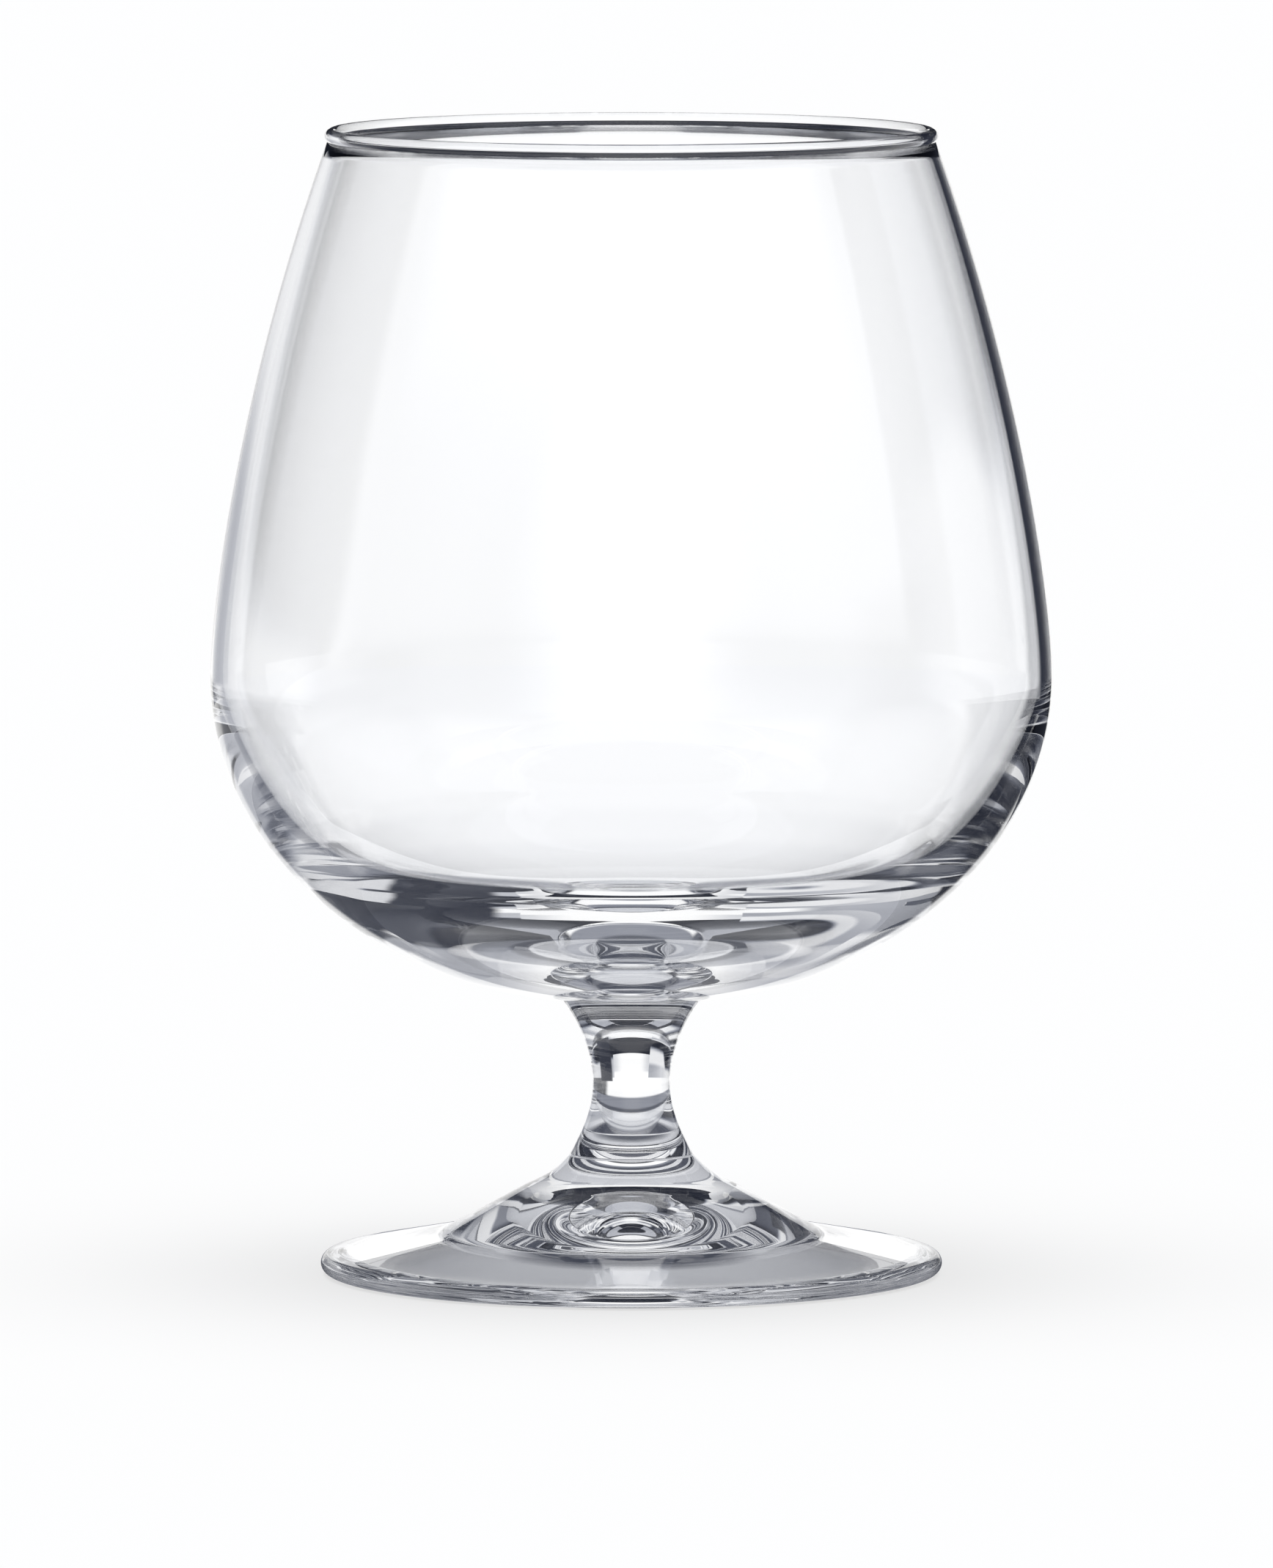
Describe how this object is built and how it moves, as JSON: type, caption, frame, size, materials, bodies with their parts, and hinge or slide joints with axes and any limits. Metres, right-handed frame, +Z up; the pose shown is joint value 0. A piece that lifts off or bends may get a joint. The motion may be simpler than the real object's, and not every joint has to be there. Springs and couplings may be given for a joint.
{
  "type": "brandy snifter",
  "caption": "Clear brandy snifter: a wide tulip bowl that narrows to a beaded rim, on a short waisted stem with a flared round foot.",
  "frame": {"origin": "centre of the foot's resting ring, in the plane of the table", "axes": "+Z up, along the axis that the whole glass is turned about"},
  "size_m": [0.11, 0.11, 0.15],
  "materials": {
    "clear_glass": "clear, fire-polished"
  },
  "bodies": {
    "root": {"rim": "clear_glass", "bowl": "clear_glass", "stem": "clear_glass", "foot": "clear_glass"}
  },
  "joints": []
}
